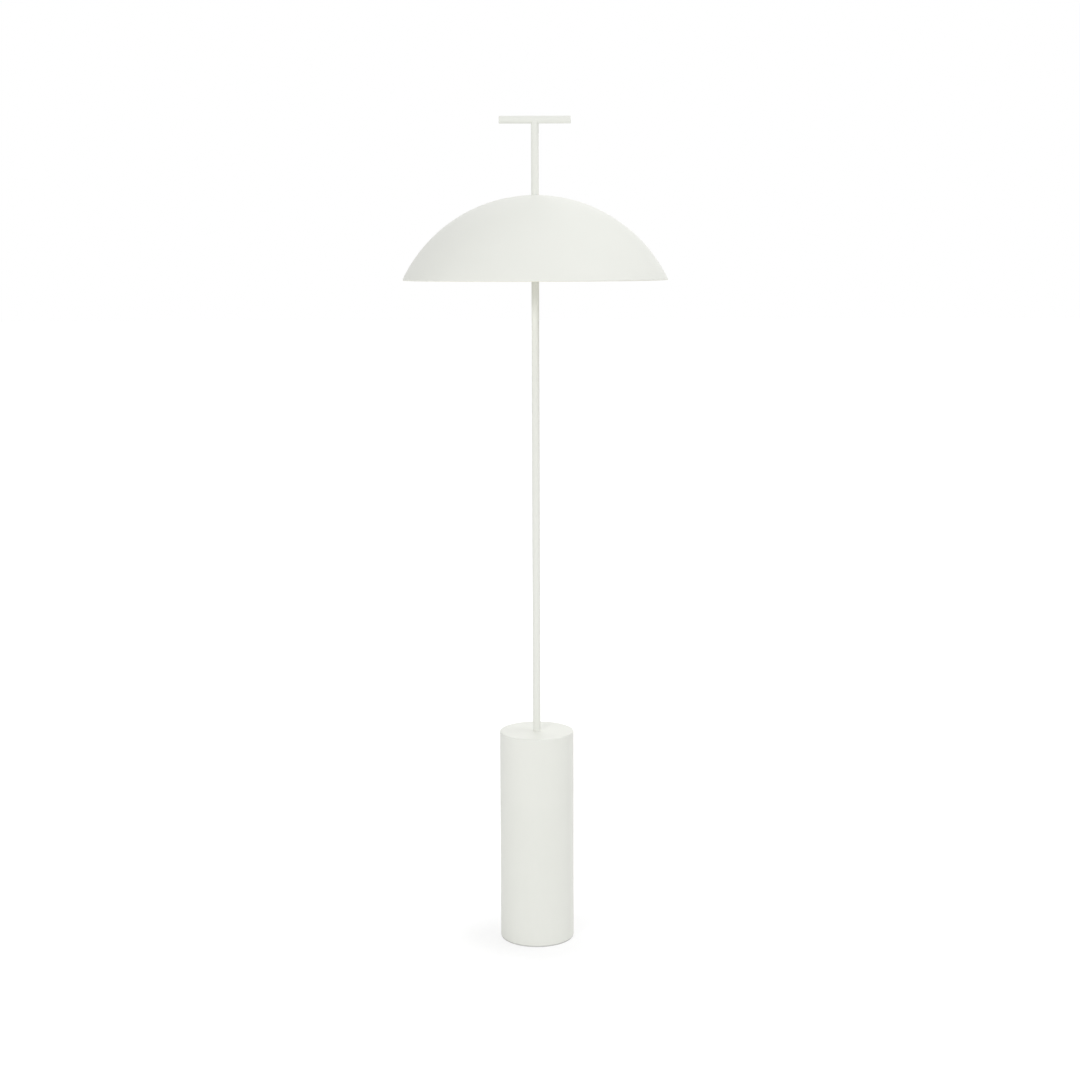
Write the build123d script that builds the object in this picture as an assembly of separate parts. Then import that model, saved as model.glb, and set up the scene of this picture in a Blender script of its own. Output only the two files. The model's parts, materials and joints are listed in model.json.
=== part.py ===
from build123d import *

import os
from math import acos, cos, degrees, radians, sin, sqrt

# A floor lamp: a weighted cylinder base, a slim stem, a dome shade and a T handle on top.
# Millimetres, +Z up. The origin is on the floor at the centre of the base, -Y is the front
# and +X is to the right of someone who faces the front. Threads are drawn as plain cylinders.
# A screw is its thread diameter, head diameter and length.

# Outer form
OVERALL_HEIGHT = 1320.0
BASE_DIAMETER = 119.0
BASE_HEIGHT = 342.0
BASE_EDGE_ROUND = 1.4
STEM_DIAMETER = 12.0
SHADE_DIAMETER = 416.0
SHADE_HEIGHT = 132.2
SHADE_THICKNESS = 1.5
HANDLE_LENGTH = 112.0
HANDLE_BAR_DIAMETER = 12.0
HANDLE_RISE = 110.0
HANDLE_END_ROUND = 0.9

# Clearances
FIT = 0.1
THREAD_FIT = 0.05
TURN_CLEARANCE = 0.1
BUTTON_CLEARANCE = 0.3
LOOSE_FIT = 0.5

# Proportions of the screws: pan head height and hexagon socket, over the thread diameter
PAN_HEAD_RATIO = 0.6
HEX_SOCKET_RATIO = 0.33

# Base shell, base plate and foot
SHELL_WALL = 1.5
TOP_THICKNESS = 3.0
FOOT_GAP = 2.0
FOOT_INSET = 0.6
FOOT_WIDTH = 16.0
FOOT_EDGE_ROUND = 0.4
PLATE_RECESS = 1.0
PLATE_THICKNESS = 4.0
LEDGE_WIDTH = 15.0
LEDGE_THICKNESS = 5.0
SHELL_EDGE_ROUND = 0.4

# Fasteners of the base
PLATE_SCREW = (4.0, 7.6, 8.0)
PLATE_SCREW_COUNT = 3
FOOT_HOLE_MARGIN = 0.7
BALLAST_SCREW = (6.0, 11.4, 20.0)
BALLAST_SCREW_COUNT = 3
BALLAST_SCREW_INSET = 14.0
BALLAST_CLEARANCE = 1.0

# Cord inlet in the back of the shell
INLET_BORE = 7.0
INLET_WALL = 1.5
INLET_FLANGE = 2.5
INLET_PROUD = 1.8
INLET_SNAP = 1.2
INLET_SNAP_LENGTH = 2.0
INLET_ABOVE_LEDGE = 12.0

# Stem, its socket under the top of the base, and the hollow nipple that pulls it down
STEM_WALL = 1.5
SOCKET_LENGTH = 70.0
SOCKET_WALL = 6.0
SOCKET_FLANGE_WIDTH = 13.0
SOCKET_FLANGE_THICKNESS = 4.0
SOCKET_SHOULDER = 8.0
STEM_THREAD_WALL = 1.0
NIPPLE_WALL = 1.25
NIPPLE_ENGAGEMENT = 18.0
NIPPLE_TAIL = 6.0
STEM_WASHER_WIDTH = 5.0
STEM_WASHER_THICKNESS = 1.5
STEM_NUT_WALL = 2.0
STEM_NUT_THICKNESS = 4.0

# LED driver on its bracket above the ballast
DRIVER_WIDTH = 40.0
DRIVER_DEPTH = 24.0
DRIVER_LENGTH = 90.0
DRIVER_EDGE_ROUND = 1.5
DRIVER_EAR_LENGTH = 8.0
DRIVER_EAR_WIDTH = 16.0
DRIVER_EAR_THICKNESS = 3.0
DRIVER_FLOOR_GAP = 3.0
DRIVER_SCREW = (3.0, 5.6, 4.5)
BRACKET_THICKNESS = 1.5
BRACKET_WIDTH = 36.0
BRACKET_FOOT = 16.0
BRACKET_SCREW = (4.0, 7.0, 10.0)
BRACKET_SCREW_SPACING = 22.0
CABLE_LEAD = 10.0
TERMINAL_WIDTH = 30.0
TERMINAL_HEIGHT = 16.0
TERMINAL_DEPTH = 14.0
TERMINAL_ABOVE_BALLAST = 30.0
TERMINAL_POLES = 3
TERMINAL_CHAMFER = 3.0
TERMINAL_SCREW_DIAMETER = 4.0
TERMINAL_SCREW_LENGTH = 3.0
TERMINAL_SCREW_SINK = 3.0
TERMINAL_SLOT_WIDTH = 0.8
TERMINAL_SLOT_DEPTH = 0.6
LEAD_DIAMETER = 2.0
LEAD_BEND = 3.0
LEAD_DROP = 4.5
LEAD_SIDE_CLEARANCE = 6.0

# Hub on top of the stem, which carries the shade and the light head
HUB_DIAMETER = 21.0
HUB_FLANGE_THICKNESS = 4.0
HUB_WEB = 4.5
STEM_INSERTION = 20.0
CABLE_CHAMBER = 9.5
CABLE_SLOT_WIDTH = 6.0
GRUB_DIAMETER = 4.0
GRUB_ABOVE_PLATE = 6.0
GRUB_SOCKET_DEPTH = 1.5

# Shade seat and the stud that clamps the shade under the handle
SHADE_LAND_DIAMETER = 22.0
SHADE_HEM_HEIGHT = 7.0
SHADE_HEM_THICKNESS = 1.2
LOWER_WASHER_THICKNESS = 1.0
UPPER_WASHER_THICKNESS = 0.5
POST_WALL = 2.0
STUD_IN_HUB = 18.0
STUD_IN_POST = 16.0
BAR_STUD_DIAMETER = 5.0
BAR_STUD_IN_POST = 12.0
BAR_STUD_IN_BAR = 7.0

# Light head: heat sink, LED board, diffuser and its rings
HEAD_DIAMETER = 144.0
HEAD_PLATE = 3.0
HEAD_WALL = 2.5
HEAD_DEPTH = 20.0
FIN_COUNT = 24
FIN_THICKNESS = 1.8
FIN_HEIGHT = 9.0
FIN_LENGTH = 30.0
FIN_EDGE_MARGIN = 4.0
HUB_SCREW = (4.0, 7.0, 7.0)
HUB_SCREW_COUNT = 3
BOARD_THICKNESS = 1.6
BOARD_MARGIN = 2.0
BOARD_SCREW = (3.0, 5.6, 4.0)
BOARD_SCREW_COUNT = 3
BOARD_SCREW_INSET = 5.0
LED_COUNT = 24
LED_SIZE = (3.5, 2.8, 0.9)
DIFFUSER_THICKNESS = 2.5
DIFFUSER_BULGE = 3.0
RING_WALL = 2.2
RING_LIP = 7.0
RING_LIP_THICKNESS = 2.5
RING_OVERLAP = 10.0
RING_EDGE_ROUND = 0.8
COLLAR_WALL = 2.2
COLLAR_LIP = 4.5
COLLAR_STEP = 1.6

# Push button of the dimmer, under the collar
BUTTON_DIAMETER = 9.8
BUTTON_MARGIN = 1.1
BUTTON_PROUD = 1.3
BUTTON_FLANGE_STEP = 1.2
BUTTON_FLANGE_THICKNESS = 1.4
BUTTON_STEM_DIAMETER = 3.0
BUTTON_STEM_LENGTH = 1.5
BUTTON_TRAVEL = 1.5
BUTTON_STOP_GAP = 0.1
BUTTON_EDGE_ROUND = 0.6
SWITCH_SIZE = (6.0, 6.0, 3.5)
DIMMER_BOARD_THICKNESS = 1.6

# Cable from the driver through the stem to the LED board
CABLE_DIAMETER = 3.6
CABLE_BEND = 8.0
CABLE_RISE = 5.0
CABLE_BOARD_INSET = 4.7
CABLE_HOLE_MARGIN = 0.6

# Shared radii
shell_radius = BASE_DIAMETER / 2
shell_bore = shell_radius - SHELL_WALL
stem_radius = STEM_DIAMETER / 2
stem_bore = stem_radius - STEM_WALL
plate_radius = shell_bore - LOOSE_FIT
ledge_bore = shell_bore - LEDGE_WIDTH
ballast_radius = ledge_bore - BALLAST_CLEARANCE
ballast_screw_radius = ballast_radius - BALLAST_SCREW_INSET
foot_radius = shell_radius - FOOT_INSET
foot_bore = foot_radius - FOOT_WIDTH
plate_screw_radius = shell_bore - LEDGE_WIDTH / 2
nipple_radius = stem_radius - STEM_THREAD_WALL - THREAD_FIT
inlet_radius = INLET_BORE / 2 + INLET_WALL
hub_radius = HUB_DIAMETER / 2
head_radius = HEAD_DIAMETER / 2
stud_radius = stem_radius - POST_WALL
cable_radius = CABLE_DIAMETER / 2
lead_radius = LEAD_DIAMETER / 2
bar_radius = HANDLE_BAR_DIAMETER / 2

# Radii of the cup round the stem: the button fits between the stem and the cup's wall
button_flange_radius = BUTTON_DIAMETER / 2 + BUTTON_FLANGE_STEP
button_radius = stem_radius + FIT + BUTTON_MARGIN + button_flange_radius
collar_inner = button_radius + button_flange_radius + BUTTON_MARGIN
collar_bore = collar_inner + COLLAR_STEP
collar_radius = collar_bore + COLLAR_WALL
hub_flange_radius = collar_bore - FIT
hub_screw_radius = (hub_radius + hub_flange_radius) / 2
board_bore = collar_radius + BOARD_MARGIN
board_radius = head_radius - HEAD_WALL - BOARD_MARGIN
board_screw_radius = board_radius - BOARD_SCREW_INSET
cable_drop_radius = board_bore + CABLE_BOARD_INSET
fin_outer = head_radius - FIN_EDGE_MARGIN

# Heights in the base, from the floor up and from its top down
plate_bottom = FOOT_GAP + PLATE_RECESS
plate_top = plate_bottom + PLATE_THICKNESS
ledge_top = plate_top + LEDGE_THICKNESS
inlet_z = ledge_top + INLET_ABOVE_LEDGE
socket_top = BASE_HEIGHT - TOP_THICKNESS
socket_bottom = socket_top - SOCKET_LENGTH
stem_bottom = socket_bottom + SOCKET_SHOULDER
stem_washer_bottom = socket_bottom - STEM_WASHER_THICKNESS
stem_nut_bottom = stem_washer_bottom - STEM_NUT_THICKNESS
nipple_bottom = stem_nut_bottom - NIPPLE_TAIL
driver_top = nipple_bottom - CABLE_LEAD
driver_bottom = driver_top - DRIVER_LENGTH
ballast_top = driver_bottom - DRIVER_EAR_LENGTH - DRIVER_FLOOR_GAP
bracket_top = driver_top + DRIVER_EAR_LENGTH

# Heights at the shade, from the top of the handle down
bar_z = OVERALL_HEIGHT - bar_radius
crown_z = OVERALL_HEIGHT - HANDLE_BAR_DIAMETER - HANDLE_RISE
post_bottom = crown_z + UPPER_WASHER_THICKNESS
hub_top = crown_z - SHADE_THICKNESS - LOWER_WASHER_THICKNESS
hub_bottom = hub_top - STUD_IN_HUB - HUB_WEB - CABLE_CHAMBER - STEM_INSERTION
flange_top = hub_bottom + HUB_FLANGE_THICKNESS
stem_top = hub_bottom + STEM_INSERTION
chamber_top = stem_top + CABLE_CHAMBER
head_top = flange_top + HEAD_PLATE
skirt_bottom = flange_top - HEAD_DEPTH
board_bottom = flange_top - BOARD_THICKNESS
diffuser_seat = skirt_bottom - DIFFUSER_THICKNESS
lip_bottom = diffuser_seat - RING_LIP_THICKNESS
button_stem_top = diffuser_seat + BUTTON_FLANGE_THICKNESS + BUTTON_STEM_LENGTH
switch_bottom = button_stem_top + BUTTON_TRAVEL + BUTTON_STOP_GAP
collar_step_z = switch_bottom + SWITCH_SIZE[2]
cable_z = stem_top + CABLE_RISE

# The shade is a spherical cap with its rim folded inwards: its radius follows from its width and height
fold_radius = (SHADE_THICKNESS + SHADE_HEM_THICKNESS) / 2
fold_reach = SHADE_DIAMETER / 2 - fold_radius
fold_drop = SHADE_HEIGHT - fold_radius
dome_radius = (fold_reach**2 + fold_drop**2 - fold_radius**2) / (2 * (fold_drop - fold_radius))
land_radius = SHADE_LAND_DIAMETER / 2
dome_centre = crown_z - sqrt(dome_radius**2 - land_radius**2)
rim_z = dome_centre + dome_radius - SHADE_HEIGHT

FRONT, BACK, LEFT = -90.0, 90.0, 180.0


def rod(radius, low, high):
    """A solid cylinder about Z between two heights."""
    return Pos(0, 0, low) * Cylinder(radius, high - low, align=(Align.CENTER, Align.CENTER, Align.MIN))


def ring(outer, inner, low, high):
    """A tube about Z between two heights."""
    return rod(outer, low, high) - rod(inner, low, high)


def cone(low_radius, high_radius, low, high):
    """A cone frustum about Z between two heights."""
    base = (Align.CENTER, Align.CENTER, Align.MIN)
    return Pos(0, 0, low) * Cone(low_radius, high_radius, high - low, align=base)


def block(width, depth, low, high):
    """A box about Z between two heights."""
    return Pos(0, 0, low) * Box(width, depth, high - low, align=(Align.CENTER, Align.CENTER, Align.MIN))


def along_back(radius, near, far):
    """A cylinder on the axis of the cord inlet, between two distances behind the stem."""
    return Pos(0, (near + far) / 2, inlet_z) * Rot(90, 0, 0) * Cylinder(radius, far - near)


def around(shape, radius, count, first=0.0):
    """Copies of a shape, spread evenly on a circle about Z."""
    return [Rot(0, 0, first + 360 * i / count) * Pos(radius, 0, 0) * shape for i in range(count)]


def together(shapes):
    """Separate solids as one node."""
    return Compound(children=list(shapes))


def without(shape, tools):
    """A shape cut by each tool in turn."""
    for tool in tools:
        shape = shape - tool
    return shape


def circles_at(shape, height, radius):
    """The circular edges about Z of one height and radius."""
    return [
        e
        for e in shape.edges().filter_by(GeomType.CIRCLE)
        if abs(e.center().Z - height) < 1e-4 and abs(e.radius - radius) < 1e-4
    ]


def hex_socket(thread, low, depth):
    """The cut of a hexagon socket that opens downwards."""
    return Pos(0, 0, low) * extrude(RegularPolygon(thread * HEX_SOCKET_RATIO, 6), depth)


def countersunk_screw(screw, head_z):
    """A screw that points up, with the flat of its head at head_z and a hexagon socket."""
    thread, head, length = screw
    depth = (head - thread) / 2
    body = cone(head / 2, thread / 2, head_z, head_z + depth)
    body += rod(thread / 2, head_z + depth, head_z + length)
    return body - hex_socket(thread, head_z, depth)


def countersunk_hole(screw, head_z, top):
    """The cut that takes a countersunk screw, through to a height."""
    thread, head, _ = screw
    depth = (head - thread) / 2
    mouth = cone(head / 2 + THREAD_FIT, thread / 2 + THREAD_FIT, head_z, head_z + depth)
    return mouth + rod(thread / 2 + THREAD_FIT, head_z, top)


def pan_screw(screw, seat_z):
    """A screw that points up, with its round head under seat_z and a hexagon socket."""
    thread, head, length = screw
    height = thread * PAN_HEAD_RATIO
    cap = rod(head / 2, seat_z - height, seat_z)
    cap = fillet(circles_at(cap, seat_z - height, head / 2), height / 2)
    return cap + rod(thread / 2, seat_z, seat_z + length) - hex_socket(thread, seat_z - height, height / 2)


def screw_hole(screw, low, high):
    """The cut that takes a screw's thread between two heights."""
    return rod(screw[0] / 2 + THREAD_FIT, low, high)


def make_base_shell():
    """Painted steel tube with a welded top and an inner ledge for the base plate."""
    shell = rod(shell_radius, FOOT_GAP, BASE_HEIGHT)
    shell = fillet(circles_at(shell, BASE_HEIGHT, shell_radius), BASE_EDGE_ROUND)
    shell = fillet(circles_at(shell, FOOT_GAP, shell_radius), SHELL_EDGE_ROUND)
    shell -= rod(shell_bore, FOOT_GAP, plate_top)
    shell -= rod(ledge_bore, FOOT_GAP, ledge_top)
    shell -= rod(shell_bore, ledge_top, socket_top)
    shell -= rod(stem_radius + FIT, socket_top, BASE_HEIGHT)
    tap = screw_hole(PLATE_SCREW, plate_top, ledge_top)
    taps = around(tap, plate_screw_radius, PLATE_SCREW_COUNT, FRONT)
    inlet = along_back(inlet_radius + FIT, shell_bore - LOOSE_FIT, shell_radius + LOOSE_FIT)
    return without(shell, taps + [inlet])


def make_cord_bush():
    """Snap-in bush where the mains cord enters the back of the shell."""
    inner_end = shell_bore - INLET_SNAP_LENGTH
    outer_end = shell_radius + INLET_PROUD
    flange = along_back(inlet_radius + INLET_FLANGE, inner_end, outer_end)
    flange = fillet(flange.edges().group_by(Axis.Y)[-1], INLET_PROUD / 2)
    flange -= rod(shell_radius + THREAD_FIT, 0, BASE_HEIGHT)
    barbs = along_back(inlet_radius + INLET_SNAP, inner_end, shell_radius)
    barbs &= rod(shell_bore - THREAD_FIT, 0, BASE_HEIGHT)
    core = along_back(inlet_radius, inner_end, shell_radius + INLET_PROUD / 2)
    return flange + barbs + core - along_back(INLET_BORE / 2, inner_end, outer_end)


def make_foot_ring():
    """Rubber ring under the shell and the base plate, with holes over the plate screws."""
    foot = ring(foot_radius, foot_bore, 0, FOOT_GAP)
    foot = fillet(circles_at(foot, 0, foot_radius), FOOT_EDGE_ROUND)
    foot += ring(plate_radius, foot_bore, FOOT_GAP, plate_bottom)
    hole = rod(PLATE_SCREW[1] / 2 + FOOT_HOLE_MARGIN, 0, plate_bottom)
    return without(foot, around(hole, plate_screw_radius, PLATE_SCREW_COUNT, FRONT))


def make_base_plate():
    """Steel disc that closes the shell and carries the ballast."""
    plate = rod(plate_radius, plate_bottom, plate_top)
    plate_hole = countersunk_hole(PLATE_SCREW, plate_bottom, plate_top)
    ballast_hole = countersunk_hole(BALLAST_SCREW, plate_bottom, plate_top)
    holes = around(plate_hole, plate_screw_radius, PLATE_SCREW_COUNT, FRONT)
    holes += around(ballast_hole, ballast_screw_radius, BALLAST_SCREW_COUNT, BACK)
    return without(plate, holes)


def make_plate_screws():
    screw = countersunk_screw(PLATE_SCREW, plate_bottom)
    return together(around(screw, plate_screw_radius, PLATE_SCREW_COUNT, FRONT))


def make_ballast():
    """Cast iron weight that stands on the base plate."""
    weight = rod(ballast_radius, plate_top, ballast_top)
    weight = fillet(circles_at(weight, ballast_top, ballast_radius), BALLAST_CLEARANCE)
    ballast_tap = screw_hole(BALLAST_SCREW, plate_top, plate_bottom + BALLAST_SCREW[2])
    taps = around(ballast_tap, ballast_screw_radius, BALLAST_SCREW_COUNT, BACK)
    bracket_tap = screw_hole(BRACKET_SCREW, ballast_top - BRACKET_SCREW[2], ballast_top)
    return without(weight, taps + [place * bracket_tap for place in bracket_screw_places()])


def make_ballast_screws():
    screw = countersunk_screw(BALLAST_SCREW, plate_bottom)
    return together(around(screw, ballast_screw_radius, BALLAST_SCREW_COUNT, BACK))


def bracket_screw_places():
    """Where the bracket's foot is screwed to the ballast."""
    y = DRIVER_DEPTH / 2 + BRACKET_THICKNESS + BRACKET_FOOT / 2
    return [Pos(side * BRACKET_SCREW_SPACING / 2, y, 0) for side in (-1, 1)]


def driver_screw_places():
    """Where the driver's ears are screwed to the bracket, as frames whose Z points to the back."""
    y = DRIVER_DEPTH / 2 - DRIVER_EAR_THICKNESS
    low = driver_bottom - DRIVER_EAR_LENGTH / 2
    high = driver_top + DRIVER_EAR_LENGTH / 2
    return [Pos(0, y, z) * Rot(-90, 0, 0) for z in (low, high)]


def make_driver_bracket():
    """Folded steel angle: a foot on the ballast and an upright behind the driver."""
    back = DRIVER_DEPTH / 2
    low_corner = (Align.CENTER, Align.MIN, Align.MIN)
    upright = Pos(0, back, ballast_top) * Box(
        BRACKET_WIDTH, BRACKET_THICKNESS, bracket_top - ballast_top, align=low_corner
    )
    foot = Pos(0, back, ballast_top) * Box(
        BRACKET_WIDTH, BRACKET_THICKNESS + BRACKET_FOOT, BRACKET_THICKNESS, align=low_corner
    )
    foot_hole = screw_hole(BRACKET_SCREW, ballast_top, ballast_top + BRACKET_THICKNESS)
    ear_hole = screw_hole(DRIVER_SCREW, 0, DRIVER_EAR_THICKNESS + BRACKET_THICKNESS)
    holes = [place * foot_hole for place in bracket_screw_places()]
    holes += [place * ear_hole for place in driver_screw_places()]
    return without(upright + foot, holes)


def make_bracket_screws():
    screw = Pos(0, 0, ballast_top + BRACKET_THICKNESS) * Rot(180, 0, 0) * pan_screw(BRACKET_SCREW, 0)
    return together(place * screw for place in bracket_screw_places())


def make_led_driver():
    """Potted driver with an ear at each end."""
    body = block(DRIVER_WIDTH, DRIVER_DEPTH, driver_bottom, driver_top)
    body = fillet(body.edges().filter_by(Axis.Z), DRIVER_EDGE_ROUND)
    low, high = driver_bottom - DRIVER_EAR_LENGTH, driver_top + DRIVER_EAR_LENGTH
    ears = block(DRIVER_EAR_WIDTH, DRIVER_EAR_THICKNESS, low, high)
    ears = Pos(0, (DRIVER_DEPTH - DRIVER_EAR_THICKNESS) / 2, 0) * ears
    ear_hole = screw_hole(DRIVER_SCREW, 0, DRIVER_EAR_THICKNESS)
    return without(body + ears, [place * ear_hole for place in driver_screw_places()])


def make_driver_screws():
    screw = pan_screw(DRIVER_SCREW, 0)
    return together(place * screw for place in driver_screw_places())


def terminal_columns():
    """Positions from left to right of the poles of the terminal block."""
    pitch = TERMINAL_WIDTH / TERMINAL_POLES
    return [pitch * (i - (TERMINAL_POLES - 1) / 2) for i in range(TERMINAL_POLES)]


def terminal_screw_places():
    """Where the clamp screws sit in the terminal block, as frames whose Z points to the back."""
    y = DRIVER_DEPTH / 2 + BRACKET_THICKNESS + TERMINAL_DEPTH
    z = ballast_top + TERMINAL_ABOVE_BALLAST + TERMINAL_HEIGHT / 2
    return [Pos(x, y, z) * Rot(-90, 0, 0) for x in terminal_columns()]


def make_terminal_block():
    """Block on the back of the bracket, where the mains cord is joined."""
    low = ballast_top + TERMINAL_ABOVE_BALLAST
    y = DRIVER_DEPTH / 2 + BRACKET_THICKNESS + TERMINAL_DEPTH / 2
    body = Pos(0, y, 0) * block(TERMINAL_WIDTH, TERMINAL_DEPTH, low, low + TERMINAL_HEIGHT)
    body = chamfer(body.edges().filter_by(Axis.X).group_by(Axis.Y)[-1], TERMINAL_CHAMFER)
    well = rod(TERMINAL_SCREW_DIAMETER / 2 + FIT, -TERMINAL_SCREW_SINK - TERMINAL_SCREW_LENGTH, 0)
    return without(body, [place * well for place in terminal_screw_places()])


def make_terminal_screws():
    top = -TERMINAL_SCREW_SINK
    screw = rod(TERMINAL_SCREW_DIAMETER / 2, top - TERMINAL_SCREW_LENGTH, top)
    screw -= block(TERMINAL_SCREW_DIAMETER, TERMINAL_SLOT_WIDTH, top - TERMINAL_SLOT_DEPTH, top)
    return together(place * screw for place in terminal_screw_places())


def make_supply_leads():
    """Two wires from the terminal block's outer poles, round the bracket, to the foot of the driver."""
    start = ballast_top + TERMINAL_ABOVE_BALLAST
    low = driver_bottom - LEAD_DROP
    y = DRIVER_DEPTH / 2 + BRACKET_THICKNESS + TERMINAL_DEPTH / 2
    side = BRACKET_WIDTH / 2 + LEAD_SIDE_CLEARANCE
    pole = max(terminal_columns())
    leads = []
    for sign in (-1, 1):
        corners = [(pole, y, start), (pole, y, low), (side, y, low), (side, 0, low), (pole, 0, low)]
        corners.append((pole, 0, driver_bottom))
        path = FilletPolyline([(sign * x, y, z) for x, y, z in corners], radius=LEAD_BEND)
        leads.append(sweep(Pos(sign * pole, y, start) * Circle(lead_radius), path=path))
    return together(leads)


def make_stem_socket():
    """Steel socket welded under the top of the base, which holds the stem upright."""
    barrel_radius = stem_radius + SOCKET_WALL
    socket = rod(barrel_radius, socket_bottom, socket_top)
    socket += rod(barrel_radius + SOCKET_FLANGE_WIDTH, socket_top - SOCKET_FLANGE_THICKNESS, socket_top)
    socket -= rod(stem_radius + FIT, stem_bottom, socket_top)
    return socket - rod(nipple_radius + FIT, socket_bottom, stem_bottom)


def make_stem_nipple():
    """Hollow threaded tube in the foot of the stem."""
    return ring(nipple_radius, nipple_radius - NIPPLE_WALL, nipple_bottom, stem_bottom + NIPPLE_ENGAGEMENT)


def make_stem_washer():
    return ring(nipple_radius + STEM_WASHER_WIDTH, nipple_radius + FIT, stem_washer_bottom, socket_bottom)


def make_stem_nut():
    hexagon = RegularPolygon(nipple_radius + STEM_NUT_WALL, 6, major_radius=False)
    nut = Pos(0, 0, stem_nut_bottom) * extrude(hexagon, STEM_NUT_THICKNESS)
    return nut - rod(nipple_radius + THREAD_FIT, stem_nut_bottom, stem_washer_bottom)


def make_stem_tube():
    """Painted steel tube from the socket to the hub, tapped at its foot."""
    tube = ring(stem_radius, stem_bore, stem_bottom, stem_top)
    return tube - rod(nipple_radius + THREAD_FIT, stem_bottom, stem_bottom + NIPPLE_ENGAGEMENT)


def grub_places():
    """Where the grub screws press on the stem, as frames whose Z points away from the axis."""
    z = head_top + GRUB_ABOVE_PLATE
    return [Rot(0, 0, angle) * Pos(stem_radius, 0, z) * Rot(0, 90, 0) for angle in (BACK, LEFT)]


def make_shade_hub():
    """Turned aluminium hub on the stem: flange below for the heat sink, seat on top for the shade."""
    hub = rod(hub_radius, hub_bottom, hub_top)
    hub += rod(hub_flange_radius, hub_bottom, flange_top)
    hub -= rod(stem_radius + FIT, hub_bottom, stem_top)
    hub -= rod(stem_bore, stem_top, chamber_top)
    hub -= rod(stud_radius + THREAD_FIT, hub_top - STUD_IN_HUB, hub_top)
    slot = Pos(hub_radius, 0, 0) * block(HUB_DIAMETER, CABLE_SLOT_WIDTH, stem_top, chamber_top)
    taps = around(screw_hole(HUB_SCREW, hub_bottom, flange_top), hub_screw_radius, HUB_SCREW_COUNT, FRONT)
    grub_hole = rod(GRUB_DIAMETER / 2 + THREAD_FIT, 0, hub_radius)
    grubs = [place * grub_hole for place in grub_places()]
    return without(hub, [slot, lead_hole(hub_bottom, flange_top)] + taps + grubs)


def make_hub_grub_screws():
    length = hub_radius - stem_radius
    grub = rod(GRUB_DIAMETER / 2, 0, length)
    grub -= hex_socket(GRUB_DIAMETER, length - GRUB_SOCKET_DEPTH, GRUB_SOCKET_DEPTH)
    return together(place * grub for place in grub_places())


def lead_hole(low, high):
    """The cut for the dimmer's lead, beside the stem."""
    return Pos(hub_screw_radius, 0, 0) * rod(lead_radius + FIT, low, high)


def make_heat_sink():
    """Cast aluminium dish with radial fins on its back."""
    sink = ring(head_radius, hub_radius + FIT, flange_top, head_top)
    sink += ring(head_radius, head_radius - HEAD_WALL, skirt_bottom, head_top)
    fin = block(FIN_LENGTH, FIN_THICKNESS, head_top - HEAD_PLATE / 2, head_top + FIN_HEIGHT)
    half_pitch = 180 / FIN_COUNT
    for copy in around(fin, fin_outer - FIN_LENGTH / 2, FIN_COUNT, half_pitch):
        sink += copy
    cable_hole = Pos(cable_drop_radius, 0, 0) * rod(cable_radius + CABLE_HOLE_MARGIN, flange_top, head_top)
    hub_taps = around(screw_hole(HUB_SCREW, flange_top, head_top), hub_screw_radius, HUB_SCREW_COUNT, FRONT)
    board_tap = screw_hole(BOARD_SCREW, flange_top, head_top)
    board_taps = around(board_tap, board_screw_radius, BOARD_SCREW_COUNT, BACK)
    return without(sink, [cable_hole, lead_hole(flange_top, head_top)] + hub_taps + board_taps)


def make_hub_screws():
    return together(around(pan_screw(HUB_SCREW, hub_bottom), hub_screw_radius, HUB_SCREW_COUNT, FRONT))


def make_led_board():
    """Aluminium-core ring that the LEDs are soldered to."""
    board = ring(board_radius, board_bore, board_bottom, flange_top)
    hole = screw_hole(BOARD_SCREW, board_bottom, flange_top)
    return without(board, around(hole, board_screw_radius, BOARD_SCREW_COUNT, BACK))


def make_leds():
    """The LED packages, on a circle under the board."""
    width, depth, height = LED_SIZE
    package = block(width, depth, board_bottom - height, board_bottom)
    return together(around(package, (board_radius + board_bore) / 2, LED_COUNT, 180 / LED_COUNT))


def make_board_screws():
    screw = pan_screw(BOARD_SCREW, board_bottom)
    return together(around(screw, board_screw_radius, BOARD_SCREW_COUNT, BACK))


def make_diffuser():
    """Opal disc between the collar and the ring, with a shallow bulge that faces down."""
    inner = collar_radius + FIT
    outer = head_radius
    lip_inner = head_radius + RING_WALL - RING_LIP
    lip_outer = collar_radius + COLLAR_LIP + FIT
    upper, lower = skirt_bottom, diffuser_seat
    middle = (lip_inner + lip_outer) / 2
    under = ThreePointArc((lip_inner, lower), (middle, lower - DIFFUSER_BULGE), (lip_outer, lower))
    over = ThreePointArc((lip_outer, upper), (middle, upper - DIFFUSER_BULGE), (lip_inner, upper))
    edges = [
        Line((outer, lower), (lip_inner, lower)),
        under,
        Line((lip_outer, lower), (inner, lower)),
        Line((inner, lower), (inner, upper)),
        Line((inner, upper), (lip_outer, upper)),
        over,
        Line((lip_inner, upper), (outer, upper)),
        Line((outer, upper), (outer, lower)),
    ]
    return revolve(Plane.XZ * make_face(edges), Axis.Z)


def make_diffuser_ring():
    """Trim ring that screws over the skirt of the heat sink and holds the edge of the diffuser."""
    bore = head_radius + FIT
    outer = bore + RING_WALL
    trim = rod(outer, lip_bottom, skirt_bottom + RING_OVERLAP)
    trim = fillet(circles_at(trim, lip_bottom, outer), RING_EDGE_ROUND)
    trim -= rod(bore, diffuser_seat, skirt_bottom + RING_OVERLAP)
    return trim - rod(outer - RING_LIP, lip_bottom, diffuser_seat)


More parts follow.
